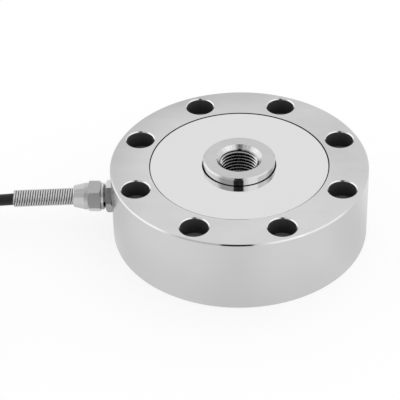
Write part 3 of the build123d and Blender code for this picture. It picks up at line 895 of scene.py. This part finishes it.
class NodeTree:
    """Adds nodes to a material's or the world's tree."""

    def __init__(self, tree):
        self.tree = tree

    def join(self, socket, value):
        """A number, a colour or a field into a socket."""
        if isinstance(value, Field):
            self.tree.links.new(value.socket, socket)
        else:
            socket.default_value = value

    def node(self, kind, settings=None, inputs=None, output=0):
        """Adds a node, sets its settings, then its sockets, and gives one output back."""
        node = self.tree.nodes.new(kind)
        for name, value in (settings or {}).items():
            setattr(node, name, value)
        for name, value in (inputs or {}).items():
            self.join(node.inputs[name], value)
        return Field(self.tree, node.outputs[output])

    def place(self):
        return self.node("ShaderNodeTexCoord", output=3)

    def parts(self, vector):
        """The X, Y and Z of a vector."""
        first = self.node("ShaderNodeSeparateXYZ", inputs={0: vector})
        return [Field(self.tree, output) for output in first.socket.node.outputs]

    def vector(self, x, y, z):
        return self.node("ShaderNodeCombineXYZ", inputs={"X": x, "Y": y, "Z": z})

    def length(self, x, y):
        flat = self.vector(x, y, 0.0)
        return self.node("ShaderNodeVectorMath", {"operation": "LENGTH"}, {0: flat}, output=1)

    def noise(self, vector, scale, detail=3.0):
        """Noise from 0 to 1, with its own scale along each axis."""
        stretched = self.node("ShaderNodeMapping", inputs={"Vector": vector, "Scale": scale})
        return self.node("ShaderNodeTexNoise", inputs={"Vector": stretched, "Scale": 1.0, "Detail": detail})

    def rise(self, value, low, high):
        """Goes gently from 0 to 1 between two values."""
        return self.node(
            "ShaderNodeMapRange",
            {"interpolation_type": "SMOOTHSTEP"},
            {"Value": value, "From Min": low, "From Max": high},
        )

    def window(self, value, low, high, soft):
        """1 between two values, 0 outside, with soft ends."""
        return self.rise(value, low - soft, low + soft) * (1 - self.rise(value, high - soft, high + soft))

    def sector(self, angle, low, high, soft):
        """The same for an angle, with its limits in degrees."""
        return self.window(angle, radians(low), radians(high), radians(soft))

    def blend(self, factor, low, high):
        """A colour between two, by a field from 0 to 1."""
        settings = {"data_type": "RGBA"}
        return self.node("ShaderNodeMix", settings, {"Factor": factor, 6: (*low, 1), 7: (*high, 1)}, output=2)


print("Patterns: noise, rise, window, sector and blend")

# %% A finish


class Finish(NodeTree):
    """A material with its Principled shader."""

    def __init__(self, name, metallic=0.0, roughness=0.5, colour=(0.5, 0.5, 0.5)):
        self.name = name
        self.material = bpy.data.materials.new(name)
        self.material.use_nodes = True
        super().__init__(self.material.node_tree)
        self.shader = self.tree.nodes["Principled BSDF"]
        self.set("Metallic", metallic)
        self.set("Roughness", roughness)
        self.set("Base Color", (*colour, 1))

    def set(self, socket, value):
        self.join(self.shader.inputs[socket], value)

    def bump(self, height, distance):
        self.set("Normal", self.node("ShaderNodeBump", inputs={"Height": height, "Distance": distance}))


def grey(value):
    return (value, value, value)


print("A finish sets colour, roughness and bump")

# %% [markdown]
# ## Ground steel of the body
#
# The ring is ground and plated, a soft satin with faint cloudy patches and rings too fine to count. Its wall is a
# little rougher than its top, and the broken edge between them is nearly a mirror. The ring is darker towards the
# back left, and its top a little darker at the back. The hub's face is darker. The cutter that made the countersink
# left fine streaks. The tapped thread is painted a little lighter, with painted shade in its roots, on its back side
# and deeper down. All of it depends only on where a point lies from the axis and how high, so one finish does the
# whole body.

# %% Ground steel
ground_steel = Finish("machined_steel", metallic=1.0)
place = ground_steel.place()
x, y, z = ground_steel.parts(place)
radius = ground_steel.length(x, y)
clouds = ground_steel.noise(place, (32, 32, 32), 2.0)
smears = ground_steel.noise(place, (60, 140, 60))
grain = ground_steel.noise(place, (240, 240, 2400))
rings = ground_steel.noise(ground_steel.vector(radius, z, 0.0), (5000, 5000, 1), 2.0)
streaks = ground_steel.noise(ground_steel.vector(x / radius, y / radius, 0.0), (80, 80, 1), 2.0)
# Mask of the thread's roots, which get painted shade
thread_root_shade = ground_steel.rise(radius, 0.00735, 0.0079)
# Masks where the ring is darker: towards the back left, and a little at the back
back_left_darker = ground_steel.rise(y * 0.6 - x * 0.8, -0.005, 0.045) * ground_steel.rise(radius, 0.037, 0.053)
far_side = ground_steel.rise(y + x * 0.7, 0.0, 0.04) * ground_steel.rise(radius, 0.036, 0.037)
hub = 1 - ground_steel.rise(radius, 0.0147, 0.0148)
above_thread = ground_steel.rise(z, 0.0330, 0.0336)
countersink = ground_steel.window(radius, 0.0079, 0.00945, 0.00005) * above_thread
tapped = (1 - ground_steel.rise(radius, 0.00802, 0.0081)) * (1 - above_thread)
# Masks of painted shade on the tapped thread: its back side and its lower turns
back_thread_shade = ground_steel.rise(y, 0.0035, 0.0068)
deep_thread_shade = 1 - ground_steel.rise(z, 0.022, 0.031)
wall = ground_steel.rise(radius, 0.0519, 0.0523)
ring_edge = wall * ground_steel.rise(z, 0.0312, 0.0314)
shade = 0.63 + (clouds - 0.5) * 0.08 + (smears - 0.5) * 0.07 * (1 - wall) + (grain - 0.5) * 0.02
# The ring is darker towards the back left, and its top a little darker at the back
shade = shade - back_left_darker * 0.11 - far_side * 0.045 * (1 - wall)
# The tapped thread is painted a little lighter, with painted shade in its roots
shade = shade - hub * 0.08 + countersink * (streaks * 1.7 - 0.81) + tapped * (0.12 - thread_root_shade * 0.58)
# More painted shade on the thread's back side and deeper down
shade = shade - tapped * (back_thread_shade * 0.16 + deep_thread_shade * 0.1)
ground_steel.set("Base Color", shade)
roughness = 0.15 + wall * 0.09 - ring_edge * 0.18 + (clouds - 0.5) * 0.06 - hub * 0.05 + countersink * 0.16
ground_steel.set("Roughness", roughness)
ground_steel.bump(rings, 0.4e-6)
print("Ground steel:", len(ground_steel.tree.nodes), "nodes")

# %% [markdown]
# ## Bores, rims and the seats of the discs
#
# The counterbores carry painted shade: their walls are near black, a little lighter towards the mouth, and their
# floors have some painted light. The broken rim round each one is bright metal above a given height, and painted as
# dark as the bore below it. The floors of the seats of the two discs are near black, and they show as the thin line
# round each disc.

# %% Bores, rims and seat grooves
RIM_BRIGHT_FROM = 31.42

bore_painted_shade = Finish("bore_painted_shade", roughness=0.6)
x, y, z = bore_painted_shade.parts(bore_painted_shade.place())
shelf = bore_painted_shade.window(z, 0.0242, 0.0245, 0.0001)
depth = bore_painted_shade.rise(z, 0.0245, 0.0318)
bore_speckle = bore_painted_shade.noise(bore_painted_shade.place(), (900, 900, 2600), 2.0)
# Painted shade in the bore: near black, a little lighter towards the mouth, with painted light on its floor (the
# shelf)
bore_painted_shade.set("Base Color", 0.025 + bore_speckle * 0.012 + depth * 0.03 + shelf * 0.12)

bore_rim = Finish("bore_rim")
x, y, z = bore_rim.parts(bore_rim.place())
# Above this height the rim is bright metal; below it, it is painted near black, like the bore's painted shade
bright = bore_rim.rise(z, (RIM_BRIGHT_FROM - 0.03) * MM, (RIM_BRIGHT_FROM + 0.03) * MM)
bore_rim.set("Metallic", bright)
bore_rim.set("Base Color", 0.03 + bright * 0.67)
bore_rim.set("Roughness", 0.6 - bright * 0.44)

seat_groove_dark = Finish("seat_groove_dark", roughness=0.55)
lumps = seat_groove_dark.noise(seat_groove_dark.place(), (700, 700, 700), 2.0)
# The floor of each seat is near black, which makes the thin dark line round each disc
seat_groove_dark.set("Base Color", 0.04 + lumps * 0.02)
seat_groove_dark.bump(lumps, 0.05e-3)
print("Bright part of a rim starts at", RIM_BRIGHT_FROM, "mm")

# %% [markdown]
# ## Polished discs
#
# The discs are lapped until they mirror the hub: a roughness near zero, a trace of haze, and circular marks that
# only show where a lamp grazes them. Their edges are darker.

# %% Polished discs
polished_steel = Finish("polished_steel", metallic=1.0)
x, y, z = polished_steel.parts(polished_steel.place())
radius = polished_steel.length(x, y)
outer_edge = polished_steel.rise(radius, 0.03602, 0.03606)
inner_edge = 1 - polished_steel.rise(radius, 0.01504, 0.01508)
haze = polished_steel.noise(polished_steel.place(), (60, 60, 60))
lapping = polished_steel.noise(polished_steel.vector(radius, 0.0, 0.0), (3000, 1, 1), 2.0)
# The discs are darker at their outer and inner edges
polished_steel.set("Base Color", 0.73 + (haze - 0.5) * 0.02 - (outer_edge + inner_edge) * 0.46)
polished_steel.set("Roughness", 0.04 + haze * 0.02)
polished_steel.bump(lapping, 0.1e-6)
print("Polished steel:", len(polished_steel.tree.nodes), "nodes")

# %% [markdown]
# ## Gland and spring
#
# Both are plain turned or drawn steel. The gland's nut is smoother than its body. Painted shade darkens the neck
# between them and the lower flats of the body. On the spring, painted shade darkens the grooves between the turns,
# by their distance from the spring's axis, and the underside a little more. A Mapping node of the texture kind moves
# the pattern onto that axis.

# %% Gland and spring steel
gland_steel = Finish("gland_steel", metallic=1.0)
x, y, z = gland_steel.parts(gland_steel.place())
grain = gland_steel.noise(gland_steel.place(), (3000, 300, 300))
smooth_nut = 1 - gland_steel.rise(x, -0.0568, -0.0566)
from_axis = gland_steel.length(y, z - GLAND_HEIGHT)
# Painted shade in the neck between the gland's body and its nut
neck_shade = gland_steel.window(x, -0.0567, -0.0549, 0.00004) * (1 - gland_steel.rise(from_axis, 0.0052, 0.0054))
round_the_gland = (z - GLAND_HEIGHT).angle_from(0 - y)
above_corner = gland_steel.rise(round_the_gland, radians(BODY_HEX_TURN - 0.5), radians(BODY_HEX_TURN + 0.5))
# Painted shade on the lower flats of the gland's body
low_flats_shade = (1 - above_corner) * (1 - smooth_nut)
nose_step = gland_steel.window(x, -0.0637, -0.0621, 0.00005)
gland_steel.set("Base Color", 0.65 + (grain - 0.5) * 0.05 - smooth_nut * 0.08 - neck_shade * 0.5 - low_flats_shade * 0.27)
gland_steel.set("Roughness", 0.28 + (grain - 0.5) * 0.06 - smooth_nut * 0.11 + nose_step * 0.25)

spring_steel = Finish("spring_steel", metallic=1.0)
on_axis = spring_steel.node(
    "ShaderNodeMapping",
    {"vector_type": "TEXTURE"},
    {"Vector": spring_steel.place(), "Location": SPRING_START, "Rotation": (0, -SPRING_DROOP, 0)},
)
x, y, z = spring_steel.parts(on_axis)
# Painted shade in the grooves between the turns, by the distance from the spring's axis
turn_groove_shade = 1 - spring_steel.rise(spring_steel.length(y, z), 0.0032, 0.00353)
# A little more painted shade on the spring's underside
underside_shade = 1 - spring_steel.rise(z - y * 0.6, -0.002, 0.002)
drawn = spring_steel.noise(on_axis, (1500, 250, 250))
spring_steel.set("Base Color", 0.6 + (drawn - 0.5) * 0.14 - turn_groove_shade * (0.46 + underside_shade * 0.1))
spring_steel.set("Roughness", 0.45 + (drawn - 0.5) * 0.12 + turn_groove_shade * 0.1)
print("Gland and spring:", len(gland_steel.tree.nodes), "and", len(spring_steel.tree.nodes), "nodes")

# %% [markdown]
# ## Rubber, plastic and wire
#
# The jacket and the rubber parts are black but never quite even: the skin has a fine pebble from the extruder, and
# handling leaves it more or less glossy from place to place. One helper makes all the skins of this kind, and only
# the colour, the gloss and the size of the pebble change.

# %% Skins of rubber and plastic


def skin(name, colour, roughness, pebble, depth, gloss=0.5):
    """A moulded or extruded skin, with pebbles per metre and their depth in metres."""
    finish = Finish(name)
    place = finish.place()
    patches = finish.noise(place, (90, 90, 90), 2.0)
    darker = [part * 0.75 for part in colour]
    lighter = [part * 1.25 for part in colour]
    finish.set("Base Color", finish.blend(patches, darker, lighter))
    finish.set("Roughness", roughness + (patches - 0.5) * 0.16)
    finish.set("Specular IOR Level", gloss)
    finish.bump(finish.noise(place, (pebble, pebble, pebble)), depth)
    return finish


cable_jacket = skin("cable_jacket", grey(0.009), 0.5, 2200, 0.012 * MM, 0.35)
seal_rubber = skin("seal_rubber", grey(0.018), 0.75, 1500, 0.02 * MM, 0.3)
tie_nylon = skin("tie_nylon", grey(0.02), 0.38, 3000, 0.004 * MM)
INSULATION = {
    "red": (0.5, 0.018, 0.018),
    "black": grey(0.016),
    "green": (0.018, 0.22, 0.05),
    "white": grey(0.72),
}
SKINS = [cable_jacket, seal_rubber, tie_nylon]
for colour_name, colour in INSULATION.items():
    SKINS.append(skin(f"{colour_name}_insulation", colour, 0.38, 2600, 0.004 * MM))
print("Skins:", len(SKINS))

# %% [markdown]
# ## Board, resistors, gauges and loom
#
# The pieces under the covers are small, but each has a pattern of its own. A solder board shows the weave of its
# glass cloth through the green mask. Wire lies on its spool in fine turns. A strain gauge is a fold of foil on amber
# film, and the loom's sleeve is a braid. Every pattern is a stretched noise or a wave that follows the piece.

# %% Patterns of the pieces inside
board_laminate = Finish("board_laminate", roughness=0.36)
place = board_laminate.place()
warp = board_laminate.noise(place, (2600, 260, 260), 1.0)
weft = board_laminate.noise(place, (260, 2600, 260), 1.0)
weave = warp * 0.5 + weft * 0.5
board_laminate.set("Base Color", board_laminate.blend(weave, (0.012, 0.11, 0.03), (0.04, 0.3, 0.1)))
board_laminate.bump(warp + weft, 0.006 * MM)


def fine_turns(name, along, spacing, dark, light, roughness, metallic=0.0):
    """Fine parallel turns across one axis of the object, with a spacing in millimetres."""
    finish = Finish(name, metallic, roughness)
    fields = finish.parts(finish.place())
    wave = (fields["XYZ".index(along)] / (spacing * MM) * 2 * pi).sine() * 0.5 + 0.5
    wear = finish.noise(finish.place(), (400, 400, 400))
    finish.set("Base Color", finish.blend(wave * 0.7 + wear * 0.3, dark, light))
    finish.set("Roughness", roughness + (wear - 0.5) * 0.2)
    finish.bump(wave, 0.02 * MM)
    return finish


wound_wire = fine_turns("wound_wire", "Z", 0.22, (0.12, 0.03, 0.01), (0.5, 0.19, 0.07), 0.34)
gauge_film = fine_turns("gauge_film", "Z", 0.5, (0.4, 0.19, 0.04), (0.72, 0.46, 0.16), 0.36)
tinned_wire = fine_turns("tinned_wire", "X", 0.35, grey(0.4), grey(0.68), 0.33, 1.0)

chip_ceramic = Finish("chip_ceramic")
specks = chip_ceramic.noise(chip_ceramic.place(), (3000, 3000, 3000), 4.0)
chip_ceramic.set("Base Color", chip_ceramic.blend(specks, grey(0.015), grey(0.11)))
chip_ceramic.set("Roughness", 0.4 + specks * 0.2)
chip_ceramic.bump(specks, 0.01 * MM)

loom_sleeve = Finish("loom_sleeve", roughness=0.6)
x, y, z = loom_sleeve.parts(loom_sleeve.place())
left_strands = ((x + y + z) / (0.6 * MM) * 2 * pi).sine()
right_strands = ((x - y + z) / (0.6 * MM) * 2 * pi).sine()
braid = left_strands * right_strands * 0.5 + 0.5
loom_sleeve.set("Base Color", loom_sleeve.blend(braid, (0.5, 0.49, 0.45), (0.82, 0.81, 0.77)))
loom_sleeve.bump(braid, 0.03 * MM)
PATTERNED = [board_laminate, wound_wire, gauge_film, tinned_wire, chip_ceramic, loom_sleeve]
print("Finishes with a pattern:", len(PATTERNED))

# %% [markdown]
# ## Which finish goes where
#
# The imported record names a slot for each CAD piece, and each finish above has the name of its slot. A table from
# names to finishes is all that is needed to dress the pieces that stay as the CAD made them.

# %% Finishes by slot
TURNED_METAL = [ground_steel, polished_steel, gland_steel, spring_steel]
FINISHES = {finish.name: finish for finish in TURNED_METAL + SKINS + PATTERNED}
print("Slots:", len(FINISHES))

# %% Finishes on the CAD pieces
slot_names = {part["node"]: part["material_slot"] for part in frame["record"]["subparts"]}
for node_name, node in frame["nodes"].items():
    for material_slot in node.material_slots:
        material_slot.material = FINISHES[slot_names[node_name]].material
print("CAD pieces with a finish:", len(slot_names))

# %% [markdown]
# ## Putting the new pieces in the frame
#
# Each new piece takes the place of one or more CAD nodes, which are hidden but stay for the physics. It rides on the
# only body that a load cell has, and it names its slot. The body has four finishes on one mesh, so its faces are
# sorted by height and by their distance from the nearest screw hole.

# %% New pieces: their finish, their body and the CAD node that each stands for
for piece, slot_name, replaced in (
    (body_finish, "machined_steel", ["sensing_body"]),
    (top_disc, "polished_steel", ["top_cover"]),
    (bottom_disc, "polished_steel", ["bottom_cover"]),
    (gland_body, "gland_steel", ["gland_body"]),
    (gland_nut, "gland_steel", ["gland_nut"]),
    (spring, "spring_steel", ["strain_relief_spring"]),
    (cable, "cable_jacket", ["cable_lead", "cable_coil", "cable_tail"]),
):
    piece.data.materials.clear()
    piece.data.materials.append(FINISHES[slot_name].material)
    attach(piece, "root")
    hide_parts(*replaced)
    print(piece.name, "stands for", ", ".join(replaced))

# %% Faces of the bores, their rims and the seats of the discs
for inner_finish in (bore_painted_shade, bore_rim, seat_groove_dark):
    body_finish.data.materials.append(inner_finish.material)
hole_centres = [Vector((cos(angle), sin(angle), 0)) * HOLE_CIRCLE * MM for angle in HOLE_ANGLES]
rim_foot = (BODY_HEIGHT - BORE_RIM) * MM
faces_by_finish = [0, 0, 0, 0]
for face in body_finish.data.polygons:
    flat = Vector((face.center.x, face.center.y, 0))
    from_hole = min((flat - centre).length for centre in hole_centres) / MM
    level = abs(face.normal.z) > 0.9
    if 0.5 * MM < face.center.z < rim_foot and from_hole < BORE_RADIUS + 0.1:
        face.material_index = 1
    elif face.center.z > rim_foot and not level and from_hole < BORE_RADIUS + BORE_RIM:
        face.material_index = 2
    elif level and CAVITY_RADIUS * MM < flat.length < SEAT_RADIUS * MM:
        face.material_index = 3
    faces_by_finish[face.material_index] += 1
print("Faces by finish:", faces_by_finish)

# %% [markdown]
# ## Pieces on the cable
#
# A free cable has a real length and something on its far end. This one is three metres long from the board to its
# bared cores, six centimetres of them inside the cell. Its ties, cores and screen lie on it, and here they are only
# gathered in a list.

# %% Pieces on the cable
on_the_cable = [frame["nodes"][name] for name in ("cable_tie_1", "cable_tie_2", "shield_drain")]
on_the_cable += [frame["nodes"][f"core_{colour_name}_end"] for colour_name in INSULATION]
on_the_cable += [frame["nodes"][f"{colour_name}_conductor"] for colour_name in INSULATION]
print("Pieces on the cable:", len(on_the_cable))

# %% [markdown]
# ## Light
#
# Bright metal is a picture of the room round it, so the room matters more than the lamps. The world is white all
# round, with two brighter soft boxes to the left and the right. The ceiling and parts of the front are dimmer, and
# there is a dark patch behind the camera. Only reflections see these: they put the bright lines on the broken edges
# and the black stripe on the hub. What lights the rubber and the floor is a soft white, a little stronger from the
# right and from the back.

# %% World
ROOM_DARK = 0.04
world = bpy.data.worlds.new("white_room")
scene.world = world
world.use_nodes = True
room = NodeTree(world.node_tree)
background = world.node_tree.nodes["Background"]
across, along, height = room.parts(room.node("ShaderNodeTexCoord", output=0))
side = across.angle_from(0 - along)
upward = height.elevation()
left_box = room.sector(side, -134, -71, 8) * room.sector(upward, 4, 47, 6)
right_box = room.sector(side, 29, 100, 6) * room.sector(upward, 16, 55, 6)
right_core = room.sector(side, 15, 62, 4) * room.sector(upward, 22, 43, 4)
right_end = room.sector(side, 112, 134, 6) * room.sector(upward, 28, 58, 6)
ceiling = room.rise(upward, radians(52), radians(64))
front_left = room.sector(side, -62, 16, 8) * room.sector(upward, 18, 60, 8)
front_low = room.sector(side, -17, 3, 5) * (1 - room.rise(upward, radians(4), radians(13)))
dark_patch = room.sector(side, -18, 14, 1) * room.sector(upward, 27, 60, 2)
seen_room = 1.0 + left_box * 0.48 + right_box * 0.3 + right_core * 0.45 - right_end * 0.3 - ceiling * 0.35
seen_room = (seen_room - front_left * 0.3 - front_low * 0.6) * (1 - dark_patch * (1 - ROOM_DARK))
in_reflection = room.node("ShaderNodeLightPath", output=3)
lighting = 1.0 + across * 0.25 + along * 0.2
strength = lighting + (seen_room - lighting) * in_reflection
room.join(background.inputs["Color"], strength)
print("Room:", len(room.tree.nodes), "nodes")

# %% [markdown]
# ## Floor
#
# A plain white sheet. The camera sees it mostly as white light, with a share of the real shadow. Reflections see it
# nearly white, with painted shadow: a little darker near the cell, which would shade it, and in a few directions from
# its middle, and much darker in one strip far in front of the gland.

# %% Floor
FLOOR_GLOW = 0.8
FLOOR_BANDS = ((-95, 22, -0.13), (-54, 24, 0.02), (0, 26, -0.08), (70, 18, -0.07), (86, 20, -0.1))

floor_shape = bmesh.new()
bmesh.ops.create_grid(floor_shape, x_segments=1, y_segments=1, size=3.0)
floor = make_piece("floor", floor_shape)
floor_finish = Finish("floor_white", roughness=1.0, colour=grey(1.0))
x, y, z = floor_finish.parts(floor_finish.place())
radius = floor_finish.length(x, y)
side = x.angle_from(0 - y)
# Painted shadow, seen only in reflections: darker near the cell, in a few bands of direction and in a strip far in
# front of the gland
glow_mirrored = 0.91 + floor_finish.rise(radius, 0.052, 0.085) * 0.09
for middle, width, change in FLOOR_BANDS:
    band = floor_finish.sector(side, middle - width / 2, middle + width / 2, width / 2)
    glow_mirrored = glow_mirrored + band * change
from_gland = (x + 0.06).angle_from(0 - y)
far_front = floor_finish.rise(radius, 0.12, 0.2) * floor_finish.sector(from_gland, -17, 3, 5)
glow_mirrored = glow_mirrored - far_front * 0.6
from_camera = floor_finish.node("ShaderNodeLightPath", output=0)
in_mirror = floor_finish.node("ShaderNodeLightPath", output=3)
glow = floor_finish.node("ShaderNodeEmission", inputs={"Color": from_camera + in_mirror * glow_mirrored})
matt = Field(floor_finish.tree, floor_finish.shader.outputs[0])
share = from_camera * FLOOR_GLOW + in_mirror
mixed = floor_finish.node("ShaderNodeMixShader", inputs={0: share, 1: matt, 2: glow})
floor_finish.join(floor_finish.tree.nodes["Material Output"].inputs["Surface"], mixed)
floor.data.materials.append(floor_finish.material)
print("Floor:", len(floor_finish.tree.nodes), "nodes")
